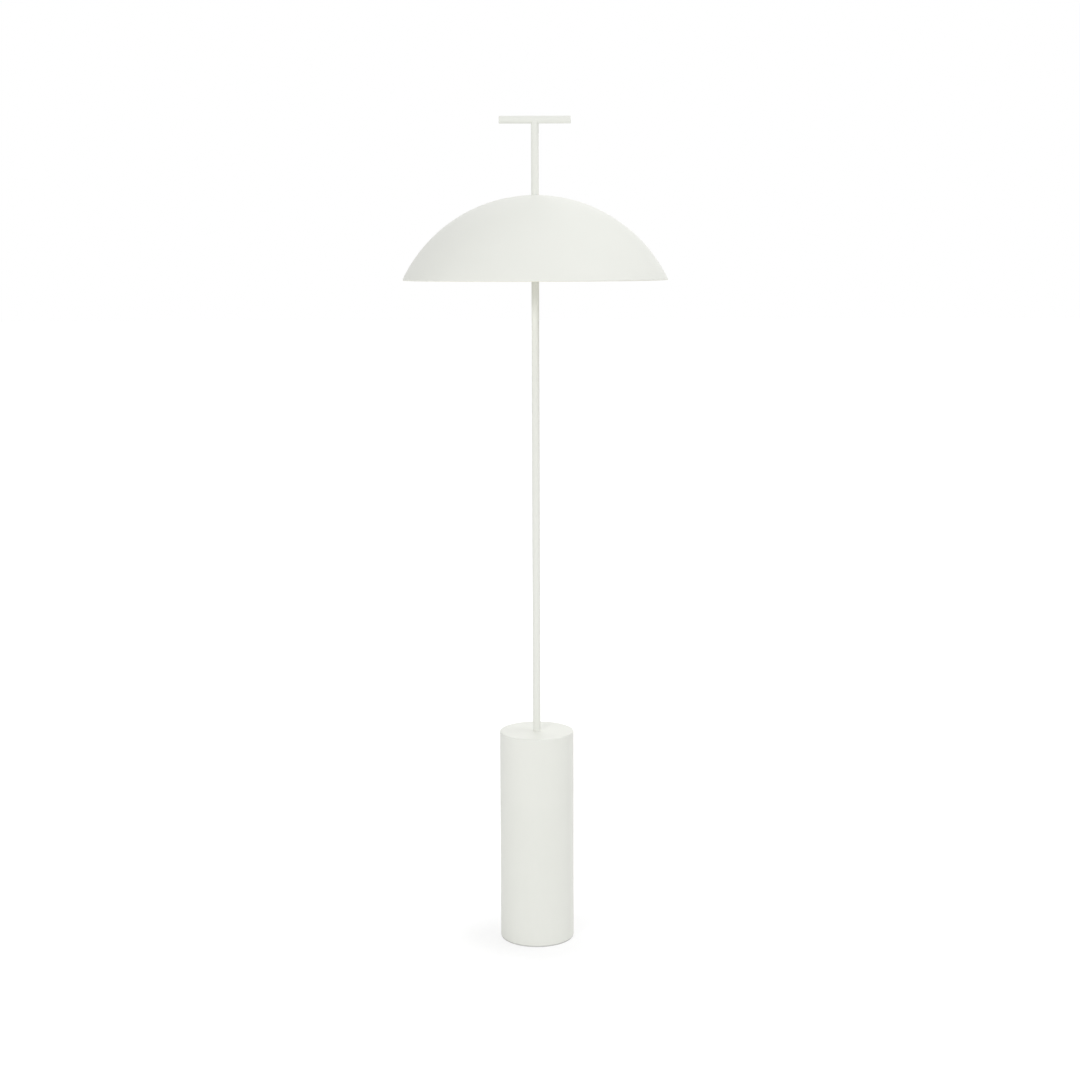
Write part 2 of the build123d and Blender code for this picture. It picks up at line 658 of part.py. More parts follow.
def make_diffuser_collar():
    """Cup that screws on the hub's flange, holds the middle of the diffuser and houses the dimmer."""
    lip_radius = collar_radius + COLLAR_LIP
    cup = rod(lip_radius, lip_bottom, diffuser_seat)
    cup = fillet(circles_at(cup, lip_bottom, lip_radius), RING_EDGE_ROUND)
    cup += rod(collar_radius, diffuser_seat, flange_top)
    cup -= rod(collar_inner, diffuser_seat, collar_step_z)
    cup -= rod(collar_bore, collar_step_z, flange_top)
    cup -= rod(stem_radius + FIT, lip_bottom, diffuser_seat)
    return cup - at_button(rod(BUTTON_DIAMETER / 2 + BUTTON_CLEARANCE, lip_bottom, diffuser_seat))


def at_button(shape):
    """Moves a shape about Z to the place of the push button, in front of the stem."""
    return Pos(0, -button_radius, 0) * shape


def make_dimmer_board():
    """Small board on the collar's step, which carries the switch."""
    radius = collar_bore - FIT
    return ring(radius, stem_radius + LOOSE_FIT, collar_step_z, collar_step_z + DIMMER_BOARD_THICKNESS)


def make_dimmer_switch():
    width, depth, _ = SWITCH_SIZE
    return at_button(block(width, depth, switch_bottom, collar_step_z))


def make_dimmer_lead():
    """Wire from the dimmer's board up through the hub's flange to the cable."""
    low = collar_step_z + DIMMER_BOARD_THICKNESS
    high = cable_z - cable_radius - THREAD_FIT
    return Pos(hub_screw_radius, 0, 0) * rod(lead_radius, low, high)


def make_dimmer_button():
    """Push button that rests with its flange on the bottom of the collar."""
    radius = BUTTON_DIAMETER / 2
    low = lip_bottom - BUTTON_PROUD
    cap = rod(radius, low, diffuser_seat)
    cap = fillet(circles_at(cap, low, radius), BUTTON_EDGE_ROUND)
    cap += rod(button_flange_radius, diffuser_seat, diffuser_seat + BUTTON_FLANGE_THICKNESS)
    cap += rod(BUTTON_STEM_DIAMETER / 2, diffuser_seat, button_stem_top)
    return at_button(cap)


def make_stem_cable():
    """Two-core cable from the driver up the stem, out of the hub and down to the LED board."""
    path = FilletPolyline(
        (0, 0, driver_top),
        (0, 0, cable_z),
        (cable_drop_radius, 0, cable_z),
        (cable_drop_radius, 0, flange_top),
        radius=CABLE_BEND,
    )
    return sweep(Pos(0, 0, driver_top) * Circle(cable_radius), path=path)


def make_lower_washer():
    return ring(land_radius - LOOSE_FIT, stud_radius + FIT, hub_top, hub_top + LOWER_WASHER_THICKNESS)


def make_upper_washer():
    return ring(stem_radius, stud_radius + FIT, crown_z, post_bottom)


def make_clamp_stud():
    """Threaded stud from the hub into the handle post, which the shade turns on."""
    return rod(stud_radius, hub_top - STUD_IN_HUB, post_bottom + STUD_IN_POST)


def on_sphere(radius, angle):
    """A point of the shade's profile: distance from the axis and height, at an angle from straight up."""
    return radius * sin(radians(angle)), dome_centre + radius * cos(radians(angle))


def angle_at(radius, height):
    """The angle from straight up at which a sphere about the dome's centre has a height."""
    return degrees(acos((height - dome_centre) / radius))


def shade_arc(radius, first, last):
    """An arc of the shade's profile between two angles."""
    return ThreePointArc(
        on_sphere(radius, first), on_sphere(radius, (first + last) / 2), on_sphere(radius, last)
    )


def on_fold(angle, turn):
    """A point of the folded rim, a turn round from the outside of the dome where that ends at an angle."""
    x, z = on_sphere(dome_radius - fold_radius, angle)
    way = radians(angle + turn)
    return x + fold_radius * sin(way), z + fold_radius * cos(way)


def fold_arc(angle, first, last):
    """An arc of the folded rim between two turns."""
    return ThreePointArc(on_fold(angle, first), on_fold(angle, (first + last) / 2), on_fold(angle, last))


def make_shade_dome():
    """Spun dome with a flat land round its hole and its rim folded round to a hem inside."""
    inner_radius = dome_radius - SHADE_THICKNESS
    hem_radius = inner_radius - SHADE_HEM_THICKNESS
    land_bottom = crown_z - SHADE_THICKNESS
    hole = stud_radius + TURN_CLEARANCE
    rim_angle = angle_at(dome_radius - fold_radius, rim_z + fold_radius)
    hem_angle = angle_at(hem_radius, rim_z + SHADE_HEM_HEIGHT)
    outside = shade_arc(dome_radius, angle_at(dome_radius, crown_z), rim_angle)
    hem = shade_arc(hem_radius, rim_angle, hem_angle)
    lowest = 180 - rim_angle
    turns = (0, lowest / 2, lowest, 180)
    fold = [fold_arc(rim_angle, first, last) for first, last in zip(turns, turns[1:])]
    hem_end = on_sphere(inner_radius, hem_angle)
    inside = shade_arc(inner_radius, hem_angle, angle_at(inner_radius, land_bottom))
    edges = [
        Line((hole, crown_z), outside @ 0),
        outside,
        *fold,
        hem,
        Line(hem @ 1, hem_end),
        inside,
        Line(inside @ 1, (hole, land_bottom)),
        Line((hole, land_bottom), (hole, crown_z)),
    ]
    return revolve(Plane.XZ * make_face(edges), Axis.Z, clean=False)


def make_handle_post():
    """Painted rod from the shade to the bar, its top shaped to the bar."""
    post = rod(stem_radius, post_bottom, bar_z)
    post -= rod(stud_radius + THREAD_FIT, post_bottom, post_bottom + STUD_IN_POST)
    low = bar_z - bar_radius - BAR_STUD_IN_POST
    post -= rod(BAR_STUD_DIAMETER / 2 + THREAD_FIT, low, bar_z)
    return post - Pos(0, 0, bar_z) * Rot(0, 90, 0) * Cylinder(bar_radius + THREAD_FIT, HANDLE_LENGTH)


def make_bar_stud():
    """Stud that ties the bar to the post."""
    low = bar_z - bar_radius
    return rod(BAR_STUD_DIAMETER / 2, low - BAR_STUD_IN_POST, low + BAR_STUD_IN_BAR)


def make_handle_bar():
    """Cross bar of the T handle."""
    bar = Pos(0, 0, bar_z) * Rot(0, 90, 0) * Cylinder(bar_radius, HANDLE_LENGTH)
    bar = fillet(bar.edges().filter_by(GeomType.CIRCLE), HANDLE_END_ROUND)
    low = bar_z - bar_radius
    return bar - rod(BAR_STUD_DIAMETER / 2 + THREAD_FIT, low, low + BAR_STUD_IN_BAR)


PARTS = {
    "base_shell": make_base_shell,
    "cord_bush": make_cord_bush,
    "foot_ring": make_foot_ring,
    "base_plate": make_base_plate,
    "plate_screws": make_plate_screws,
    "ballast": make_ballast,
    "ballast_screws": make_ballast_screws,
    "driver_bracket": make_driver_bracket,
    "bracket_screws": make_bracket_screws,
    "led_driver": make_led_driver,
    "driver_screws": make_driver_screws,
    "terminal_block": make_terminal_block,
    "terminal_screws": make_terminal_screws,
    "supply_leads": make_supply_leads,
    "stem_socket": make_stem_socket,
    "stem_nipple": make_stem_nipple,
    "stem_washer": make_stem_washer,
    "stem_nut": make_stem_nut,
    "stem_tube": make_stem_tube,
    "stem_cable": make_stem_cable,
    "shade_hub": make_shade_hub,
    "hub_grub_screws": make_hub_grub_screws,
    "heat_sink": make_heat_sink,
    "hub_screws": make_hub_screws,
    "led_board": make_led_board,
    "leds": make_leds,
    "board_screws": make_board_screws,
    "diffuser": make_diffuser,
    "diffuser_ring": make_diffuser_ring,
    "diffuser_collar": make_diffuser_collar,
    "dimmer_board": make_dimmer_board,
    "dimmer_switch": make_dimmer_switch,
    "dimmer_lead": make_dimmer_lead,
    "dimmer_button": make_dimmer_button,
    "lower_washer": make_lower_washer,
    "shade_dome": make_shade_dome,
    "upper_washer": make_upper_washer,
    "clamp_stud": make_clamp_stud,
    "handle_post": make_handle_post,
    "bar_stud": make_bar_stud,
    "handle_bar": make_handle_bar,
}

os.makedirs("parts", exist_ok=True)
for name, make in PARTS.items():
    export_step(make(), f"parts/{name}.step")
print(f"dome radius {dome_radius:.2f}, rim height {rim_z:.2f}, crown height {crown_z:.2f}")
print(f"ballast height {ballast_top - plate_top:.2f}, stem length {stem_top - stem_bottom:.2f}")
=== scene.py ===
"""The floor lamp's looks: a finish for every piece, a white studio floor, soft light and the camera.

Lengths are in metres, in the lamp's own frame: the origin is on the floor under the base, +Z is up and -Y is
the front. Colours are linear.
"""
import json
import math

import bpy
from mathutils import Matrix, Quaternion, Vector

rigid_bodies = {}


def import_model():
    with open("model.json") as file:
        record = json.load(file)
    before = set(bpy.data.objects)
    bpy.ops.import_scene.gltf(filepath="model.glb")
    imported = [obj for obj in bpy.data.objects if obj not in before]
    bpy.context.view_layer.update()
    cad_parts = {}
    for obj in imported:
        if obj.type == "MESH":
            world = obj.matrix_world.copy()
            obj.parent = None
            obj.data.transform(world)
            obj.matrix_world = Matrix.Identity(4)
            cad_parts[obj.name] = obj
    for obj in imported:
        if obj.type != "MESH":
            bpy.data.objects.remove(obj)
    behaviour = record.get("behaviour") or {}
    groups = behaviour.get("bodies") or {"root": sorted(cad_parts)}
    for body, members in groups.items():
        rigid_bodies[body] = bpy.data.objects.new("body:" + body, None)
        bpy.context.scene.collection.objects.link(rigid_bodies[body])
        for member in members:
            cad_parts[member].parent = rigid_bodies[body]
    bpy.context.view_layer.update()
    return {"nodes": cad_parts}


for leftover in list(bpy.data.objects):
    bpy.data.objects.remove(leftover)
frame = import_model()

MILLIMETRE = 0.001

# The camera: where it stands, what it looks at, and how it is set
CAMERA_PLACE = Vector((0.0, -2.9, 1.1))
CAMERA_TARGET = Vector((0.0064, 0.0, 0.7405))
CAMERA_ROLL_AXIS = Vector((0.0, 0.0, 1.0))
CAMERA_ROLL = math.radians(-0.176)
CAMERA_LENS = 61.2
CAMERA_SHIFT_UP = -0.05

# The white studio: the floor's own colour, and how it shows, with a glow that rises away from the lamp; the
# lower glow near the lamp paints a soft shade round the base
FLOOR_HALF_WIDTH = 30.0
FLOOR_DROP = 0.2 * MILLIMETRE
FLOOR_COLOUR = (0.86, 0.86, 0.85, 1.0)
FLOOR_SHOWN_COLOUR = (0.27, 0.27, 0.27, 1.0)
# Painted shade: the glow is lowest within this radius of the lamp, darkening the floor round the base on top
# of its real shadow
FLOOR_PAINTED_SHADE_RADIUS = 0.07
FLOOR_PAINTED_SHADE_GLOW = 0.73
FLOOR_FAR_RADIUS = 0.25
FLOOR_FAR_GLOW = 0.92
WHITE = (1.0, 1.0, 1.0, 1.0)
AMBIENT_STRENGTH = 0.46

# Soft lamps: place, what they point at, width and height, power in watts, and whether gloss mirrors them
LIGHTS = {
    "key_light": dict(place=(-1.35, -2.65, 1.6), target=(0.0, 0.0, 0.8), size=(0.3, 0.5), power=25.5),
    "front_light": dict(place=(0.0, -4.2, 0.8), target=(0.0, 0.0, 0.7), size=(3.0, 1.2), power=26.0),
    "high_right_light": dict(place=(2.2, 0.2, 2.9), target=(0.0, 0.0, 0.7), size=(3.2, 3.2), power=46.0),
    "high_back_light": dict(place=(0.0, 2.0, 3.0), target=(0.0, 0.0, 0.7), size=(2.0, 2.0), power=16.5),
    "top_light": dict(place=(0.0, 0.0, 3.2), target=(0.0, 0.0, 0.6), size=(2.5, 2.5), power=4.5),
    "back_left_light": dict(place=(-1.4, 3.0, 1.5), target=(0.0, 0.0, 0.7), size=(2.4, 2.0), power=10.0),
    "back_light": dict(
        place=(0.0, 3.2, 1.3), target=(0.0, 0.0, 0.7), size=(1.6, 1.2), power=4.0, glints=True,
    ),
}

# Patterns: where a noise's values mostly lie, and how much fine detail it has unless a finish says otherwise
NOISE_LOW = 0.3
NOISE_HIGH = 0.7
NOISE_DETAIL = 2.0

# Off-white powder coat
PAINT_PATCHES = dict(scale=7.0)
PAINT_TONES = dict(dark=(0.800, 0.810, 0.762, 1.0), light=(0.822, 0.830, 0.784, 1.0))
PAINT_SHEEN = dict(scale=55.0)
PAINT_GLOSS = dict(smooth=0.46, rough=0.56)
PAINT_PEEL = dict(scale=700.0)
PAINT_RELIEF = dict(depth=0.03 * MILLIMETRE, strength=0.15)

# Spinning rings in the shade's coat
SPIN_RINGS = dict(scale=160.0, blur=2.0)

# The shade's inside: its tones, and the upward part of a normal below which a face belongs to it
INSIDE_TONES = dict(dark=(0.806, 0.794, 0.690, 1.0), light=(0.828, 0.816, 0.712, 1.0))
INSIDE_NORMAL = -0.4

# Zinc plated steel
STEEL_BODY = dict(Metallic=1.0)
STEEL_PATCHES = dict(scale=180.0, detail=4.0)
STEEL_TONES = dict(dark=(0.47, 0.48, 0.50, 1.0), light=(0.62, 0.62, 0.60, 1.0))
STEEL_SHEEN = dict(scale=420.0, detail=3.0)
STEEL_GLOSS = dict(smooth=0.30, rough=0.44)
STEEL_GRAIN = dict(scale=1800.0)
STEEL_RELIEF = dict(depth=0.01 * MILLIMETRE, strength=0.3)

# Cast iron
IRON_BODY = dict(Metallic=0.6)
IRON_PATCHES = dict(scale=90.0, detail=6.0)
IRON_TONES = dict(dark=(0.085, 0.083, 0.082, 1.0), light=(0.150, 0.142, 0.135, 1.0))
IRON_SHEEN = dict(scale=260.0)
IRON_GLOSS = dict(smooth=0.62, rough=0.82)
IRON_GRAIN = dict(scale=900.0, detail=4.0)
IRON_RELIEF = dict(depth=0.25 * MILLIMETRE, strength=0.5)

# Rubber of the foot
RUBBER_BLOOM = dict(scale=140.0, detail=4.0)
RUBBER_TONES = dict(dark=(0.57, 0.57, 0.55, 1.0), light=(0.62, 0.62, 0.60, 1.0))
RUBBER_SHEEN = dict(scale=300.0)
RUBBER_GLOSS = dict(smooth=0.72, rough=0.88)
RUBBER_GRAIN = dict(scale=2400.0)
RUBBER_RELIEF = dict(depth=0.03 * MILLIMETRE, strength=0.5)

# Off-white mouldings
MOULDING_BODY = dict(Subsurface_Weight=0.06, Subsurface_Scale=0.6 * MILLIMETRE)
MOULDING_PATCHES = dict(scale=30.0)
MOULDING_TONES = dict(dark=(0.795, 0.800, 0.758, 1.0), light=(0.815, 0.820, 0.780, 1.0))
MOULDING_SHEEN = dict(scale=200.0)
MOULDING_GLOSS = dict(smooth=0.42, rough=0.52)
MOULDING_GRAIN = dict(scale=2600.0, detail=3.0)
MOULDING_RELIEF = dict(depth=0.02 * MILLIMETRE, strength=0.35)

# Nylon of the washers
NYLON_BODY = dict(Subsurface_Weight=0.3, Subsurface_Scale=1.5 * MILLIMETRE)
NYLON_PATCHES = dict(scale=160.0)
NYLON_TONES = dict(dark=(0.80, 0.79, 0.72, 1.0), light=(0.86, 0.85, 0.79, 1.0))
NYLON_SHEEN = dict(scale=350.0)
NYLON_GLOSS = dict(smooth=0.38, rough=0.5)
NYLON_RINGS = dict(scale=900.0, blur=0.5)
NYLON_RELIEF = dict(depth=0.01 * MILLIMETRE, strength=0.3)

# Cast and turned aluminium
ALUMINIUM_BODY = dict(Metallic=1.0)
ALUMINIUM_PATCHES = dict(scale=120.0, detail=4.0)
ALUMINIUM_TONES = dict(dark=(0.70, 0.71, 0.72, 1.0), light=(0.80, 0.81, 0.82, 1.0))
ALUMINIUM_SHEEN_RINGS = dict(scale=260.0, blur=1.0)
ALUMINIUM_GLOSS = dict(smooth=0.30, rough=0.42)
ALUMINIUM_TOOL_RINGS = dict(scale=900.0, blur=0.8)
ALUMINIUM_RELIEF = dict(depth=0.01 * MILLIMETRE, strength=0.4)

# Opal acrylic of the diffuser
OPAL_BODY = dict(IOR=1.49)
OPAL_PATCHES = dict(scale=40.0)
OPAL_TONES = dict(dark=(0.87, 0.84, 0.60, 1.0), light=(0.89, 0.87, 0.64, 1.0))
OPAL_SHEEN = dict(scale=300.0)
OPAL_GLOSS = dict(smooth=0.32, rough=0.42)
OPAL_GRAIN = dict(scale=250.0)
OPAL_RELIEF = dict(depth=0.02 * MILLIMETRE, strength=0.2)

# White board of the LEDs
LED_BOARD_PATCHES = dict(scale=150.0)
LED_BOARD_TONES = dict(dark=(0.80, 0.81, 0.81, 1.0), light=(0.86, 0.87, 0.87, 1.0))
LED_BOARD_SHEEN = dict(scale=400.0)
LED_BOARD_GLOSS = dict(smooth=0.29, rough=0.38)
LED_BOARD_TRACKS = dict(scale=320.0, blur=0.0)
LED_BOARD_RELIEF = dict(depth=0.03 * MILLIMETRE, strength=0.6)

# LED packages
LED_BODY = dict(Coat_Weight=0.6, Coat_Roughness=0.08)
LED_PHOSPHOR = dict(scale=5000.0, detail=3.0)
LED_TONES = dict(dark=(0.82, 0.66, 0.16, 1.0), light=(0.90, 0.78, 0.30, 1.0))
LED_SHEEN = dict(scale=2500.0)
LED_GLOSS = dict(smooth=0.3, rough=0.45)
LED_GRAIN = dict(scale=5000.0)
LED_RELIEF = dict(depth=0.01 * MILLIMETRE, strength=0.4)

# Green board of the dimmer
CIRCUIT_BODY = dict(Coat_Weight=0.4, Coat_Roughness=0.15)
CIRCUIT_TRACKS = dict(scale=700.0, detail=1.0, stretch=(1.0, 6.0, 1.0))
CIRCUIT_TONES = dict(dark=(0.025, 0.13, 0.055, 1.0), light=(0.06, 0.25, 0.11, 1.0))
CIRCUIT_SHEEN = dict(scale=900.0)
CIRCUIT_GLOSS = dict(smooth=0.28, rough=0.42)
CIRCUIT_RELIEF = dict(depth=0.03 * MILLIMETRE, strength=0.5)

# Dark mouldings
BLACK_PATCHES = dict(scale=120.0, detail=3.0)
BLACK_TONES = dict(dark=(0.030, 0.030, 0.034, 1.0), light=(0.048, 0.048, 0.053, 1.0))
BLACK_SHEEN = dict(scale=350.0)
BLACK_GLOSS = dict(smooth=0.42, rough=0.58)
BLACK_GRAIN = dict(scale=2200.0, detail=3.0)
BLACK_RELIEF = dict(depth=0.03 * MILLIMETRE, strength=0.5)

# Heat-proof moulding of the terminals
TERMINAL_PATCHES = dict(scale=150.0)
TERMINAL_TONES = dict(dark=(0.74, 0.74, 0.70, 1.0), light=(0.82, 0.82, 0.78, 1.0))
TERMINAL_SHEEN = dict(scale=350.0)
TERMINAL_GLOSS = dict(smooth=0.36, rough=0.5)
TERMINAL_GRAIN = dict(scale=1900.0)
TERMINAL_RELIEF = dict(depth=0.02 * MILLIMETRE, strength=0.3)

# Turned brass
BRASS_BODY = dict(Metallic=1.0)
BRASS_PATCHES = dict(scale=260.0, detail=4.0)
BRASS_TONES = dict(dark=(0.66, 0.49, 0.20, 1.0), light=(0.80, 0.63, 0.30, 1.0))
BRASS_SHEEN = dict(scale=600.0)
BRASS_GLOSS = dict(smooth=0.29, rough=0.38)
BRASS_GRAIN = dict(scale=2600.0)
BRASS_RELIEF = dict(depth=0.01 * MILLIMETRE, strength=0.3)

# Cable jacket
CABLE_PATCHES = dict(scale=110.0, detail=3.0)
CABLE_TONES = dict(dark=(0.64, 0.64, 0.62, 1.0), light=(0.74, 0.74, 0.72, 1.0))
CABLE_SHEEN = dict(scale=300.0)
CABLE_GLOSS = dict(smooth=0.44, rough=0.58)
CABLE_GRAIN = dict(scale=1600.0)
CABLE_RELIEF = dict(depth=0.03 * MILLIMETRE, strength=0.3)


class Finish:
    """One procedural material round a Principled shader, drawn in the piece's own coordinates.

    Patches vary its tones, sheen varies its gloss between two roughnesses, and grain gives it relief.
    """

    def __init__(self, name):
        self.material = bpy.data.materials.new(name + "_finish")
        self.material.use_nodes = True
        self.tree = self.material.node_tree
        self.shader = self.tree.nodes["Principled BSDF"]
        self.place = self.tree.nodes.new("ShaderNodeTexCoord").outputs["Object"]

    def settings(self, **values):
        """Sets constants on the shader's own sockets, named with spaces as underscores."""
        for name, value in values.items():
            self.shader.inputs[name.replace("_", " ")].default_value = value

    def link(self, start, end):
        self.tree.links.new(start, end)

    def stretched(self, stretch):
        """The piece's coordinates, scaled along each axis."""
        mapping = self.tree.nodes.new("ShaderNodeMapping")
        mapping.inputs["Scale"].default_value = stretch
        self.link(self.place, mapping.inputs["Vector"])
        return mapping.outputs["Vector"]

    def grain(self, scale, detail=NOISE_DETAIL, stretch=None):
        """A noise pattern, with about `scale` grains to the metre."""
        noise = self.tree.nodes.new("ShaderNodeTexNoise")
        noise.inputs["Scale"].default_value = scale
        noise.inputs["Detail"].default_value = detail
        self.link(self.stretched(stretch) if stretch else self.place, noise.inputs["Vector"])
        return noise.outputs["Fac"]

    def rings(self, scale, blur):
        """Rings round the lamp's axis, as spinning or turning leaves them."""
        wave = self.tree.nodes.new("ShaderNodeTexWave")
        wave.wave_type = "RINGS"
        wave.rings_direction = "Z"
        wave.inputs["Scale"].default_value = scale
        wave.inputs["Distortion"].default_value = blur
        self.link(self.place, wave.inputs["Vector"])
        return wave.outputs["Fac"]

    def ramp(self, pattern, dark, light):
        """Colours from dark to light along the pattern."""
        ramp = self.tree.nodes.new("ShaderNodeValToRGB")
        low, high = ramp.color_ramp.elements
        low.position, low.color = NOISE_LOW, dark
        high.position, high.color = NOISE_HIGH, light
        self.link(pattern, ramp.inputs["Fac"])
        return ramp.outputs["Color"]

    def tones(self, pattern, dark, light):
        """The base colour, from dark to light along the pattern."""
        self.link(self.ramp(pattern, dark, light), self.shader.inputs["Base Color"])

    def two_sides(self, upper, lower):
        """The base colour of a sheet: one colour where it faces up and another where it faces down."""
        normal = self.tree.nodes.new("ShaderNodeNewGeometry").outputs["Normal"]
        axes = self.tree.nodes.new("ShaderNodeSeparateXYZ")
        facing_up = self.tree.nodes.new("ShaderNodeMath")
        facing_up.operation = "GREATER_THAN"
        mix = self.tree.nodes.new("ShaderNodeMixRGB")
        self.link(normal, axes.inputs["Vector"])
        self.link(axes.outputs["Z"], facing_up.inputs[0])
        facing_up.inputs[1].default_value = INSIDE_NORMAL
        self.link(facing_up.outputs["Value"], mix.inputs["Fac"])
        self.link(lower, mix.inputs["Color1"])
        self.link(upper, mix.inputs["Color2"])
        self.link(mix.outputs["Color"], self.shader.inputs["Base Color"])

    def gloss(self, pattern, smooth, rough):
        """The roughness, from smooth to rough along the pattern."""
        spread = self.tree.nodes.new("ShaderNodeMapRange")
        spread.inputs["From Min"].default_value = NOISE_LOW
        spread.inputs["From Max"].default_value = NOISE_HIGH
        spread.inputs["To Min"].default_value = smooth
        spread.inputs["To Max"].default_value = rough
        self.link(pattern, spread.inputs["Value"])
        self.link(spread.outputs["Result"], self.shader.inputs["Roughness"])

    def relief(self, pattern, depth, strength):
        """Fine relief of the given depth."""
        bump = self.tree.nodes.new("ShaderNodeBump")
        bump.inputs["Strength"].default_value = strength
        bump.inputs["Distance"].default_value = depth
        self.link(pattern, bump.inputs["Height"])
        self.link(bump.outputs["Normal"], self.shader.inputs["Normal"])


def white_paint():
    """Satin powder coat on the steel pieces, with its faint orange peel."""
    paint = Finish("white_paint")
    paint.tones(paint.grain(**PAINT_PATCHES), **PAINT_TONES)
    paint.gloss(paint.grain(**PAINT_SHEEN), **PAINT_GLOSS)
    paint.relief(paint.grain(**PAINT_PEEL), **PAINT_RELIEF)
    return paint


def shade_paint():
    """The same coat on the spun dome, creamier inside, whose gloss keeps a trace of the spinning rings."""
    paint = Finish("shade_paint")
    patches = paint.grain(**PAINT_PATCHES)
    paint.two_sides(paint.ramp(patches, **PAINT_TONES), paint.ramp(patches, **INSIDE_TONES))
    paint.gloss(paint.rings(**SPIN_RINGS), **PAINT_GLOSS)
    paint.relief(paint.grain(**PAINT_PEEL), **PAINT_RELIEF)
    return paint


def steel():
    """Zinc plated steel: bright, a little blotchy."""
    metal = Finish("steel")
    metal.settings(**STEEL_BODY)
    metal.tones(metal.grain(**STEEL_PATCHES), **STEEL_TONES)
    metal.gloss(metal.grain(**STEEL_SHEEN), **STEEL_GLOSS)
    metal.relief(metal.grain(**STEEL_GRAIN), **STEEL_RELIEF)
    return metal


def cast_iron():
    """A raw casting, dark and grainy."""
    metal = Finish("cast_iron")
    metal.settings(**IRON_BODY)
    metal.tones(metal.grain(**IRON_PATCHES), **IRON_TONES)
    metal.gloss(metal.grain(**IRON_SHEEN), **IRON_GLOSS)
    metal.relief(metal.grain(**IRON_GRAIN), **IRON_RELIEF)
    return metal


def rubber():
    """Matte pale grey rubber with a fine bloom."""
    made = Finish("rubber")
    made.tones(made.grain(**RUBBER_BLOOM), **RUBBER_TONES)
    made.gloss(made.grain(**RUBBER_SHEEN), **RUBBER_GLOSS)
    made.relief(made.grain(**RUBBER_GRAIN), **RUBBER_RELIEF)
    return made


def white_plastic():
    """Matte off-white moulding with a spark eroded grain."""
    made = Finish("white_plastic")
    made.settings(**MOULDING_BODY)
    made.tones(made.grain(**MOULDING_PATCHES), **MOULDING_TONES)
    made.gloss(made.grain(**MOULDING_SHEEN), **MOULDING_GLOSS)
    made.relief(made.grain(**MOULDING_GRAIN), **MOULDING_RELIEF)
    return made


def nylon():
    """Natural nylon, milky and slightly waxy."""
    made = Finish("nylon")
    made.settings(**NYLON_BODY)
    made.tones(made.grain(**NYLON_PATCHES), **NYLON_TONES)
    made.gloss(made.grain(**NYLON_SHEEN), **NYLON_GLOSS)
    made.relief(made.rings(**NYLON_RINGS), **NYLON_RELIEF)
    return made


def aluminium():
    """Cast and turned aluminium, with its tool rings."""
    metal = Finish("aluminium")
    metal.settings(**ALUMINIUM_BODY)
    metal.tones(metal.grain(**ALUMINIUM_PATCHES), **ALUMINIUM_TONES)
    metal.gloss(metal.rings(**ALUMINIUM_SHEEN_RINGS), **ALUMINIUM_GLOSS)
    metal.relief(metal.rings(**ALUMINIUM_TOOL_RINGS), **ALUMINIUM_RELIEF)
    return metal


def opal():
    """Opal acrylic: milky, satin, and warm from the phosphor behind it."""
    made = Finish("opal")
    made.settings(**OPAL_BODY)
    made.tones(made.grain(**OPAL_PATCHES), **OPAL_TONES)
    made.gloss(made.grain(**OPAL_SHEEN), **OPAL_GLOSS)
    made.relief(made.grain(**OPAL_GRAIN), **OPAL_RELIEF)
    return made


def led_board():
    """White solder resist over copper tracks, which show as a faint relief."""
    made = Finish("led_board")
    made.tones(made.grain(**LED_BOARD_PATCHES), **LED_BOARD_TONES)
    made.gloss(made.grain(**LED_BOARD_SHEEN), **LED_BOARD_GLOSS)
    made.relief(made.rings(**LED_BOARD_TRACKS), **LED_BOARD_RELIEF)
    return made


def leds():
    """Yellow phosphor, grainy in its clear resin."""
    made = Finish("leds")
    made.settings(**LED_BODY)
    made.tones(made.grain(**LED_PHOSPHOR), **LED_TONES)
    made.gloss(made.grain(**LED_SHEEN), **LED_GLOSS)
    made.relief(made.grain(**LED_GRAIN), **LED_RELIEF)
    return made


def circuit_board():
    """Green solder resist, glossy, darker over bare laminate."""
    made = Finish("circuit_board")
    made.settings(**CIRCUIT_BODY)
    tracks = made.grain(**CIRCUIT_TRACKS)
    made.tones(tracks, **CIRCUIT_TONES)
    made.gloss(made.grain(**CIRCUIT_SHEEN), **CIRCUIT_GLOSS)
    made.relief(tracks, **CIRCUIT_RELIEF)
    return made


def black_plastic():
    """Dark moulded plastic with an eroded grain."""
    made = Finish("black_plastic")
    made.tones(made.grain(**BLACK_PATCHES), **BLACK_TONES)
    made.gloss(made.grain(**BLACK_SHEEN), **BLACK_GLOSS)
    made.relief(made.grain(**BLACK_GRAIN), **BLACK_RELIEF)
    return made


def terminal_plastic():
    """Pale heat-proof moulding."""
    made = Finish("terminal_plastic")
    made.tones(made.grain(**TERMINAL_PATCHES), **TERMINAL_TONES)
    made.gloss(made.grain(**TERMINAL_SHEEN), **TERMINAL_GLOSS)
    made.relief(made.grain(**TERMINAL_GRAIN), **TERMINAL_RELIEF)
    return made


def brass():
    """Turned brass."""
    metal = Finish("brass")
    metal.settings(**BRASS_BODY)
    metal.tones(metal.grain(**BRASS_PATCHES), **BRASS_TONES)
    metal.gloss(metal.grain(**BRASS_SHEEN), **BRASS_GLOSS)
    metal.relief(metal.grain(**BRASS_GRAIN), **BRASS_RELIEF)
    return metal


def cable():
    """Grey cable jacket."""
    made = Finish("cable")
    made.tones(made.grain(**CABLE_PATCHES), **CABLE_TONES)
    made.gloss(made.grain(**CABLE_SHEEN), **CABLE_GLOSS)
    made.relief(made.grain(**CABLE_GRAIN), **CABLE_RELIEF)
    return made


FINISHES = (
    white_paint, shade_paint, steel, cast_iron, rubber, white_plastic, nylon, aluminium, opal, led_board,
    leds, circuit_board, black_plastic, terminal_plastic, brass, cable,
)


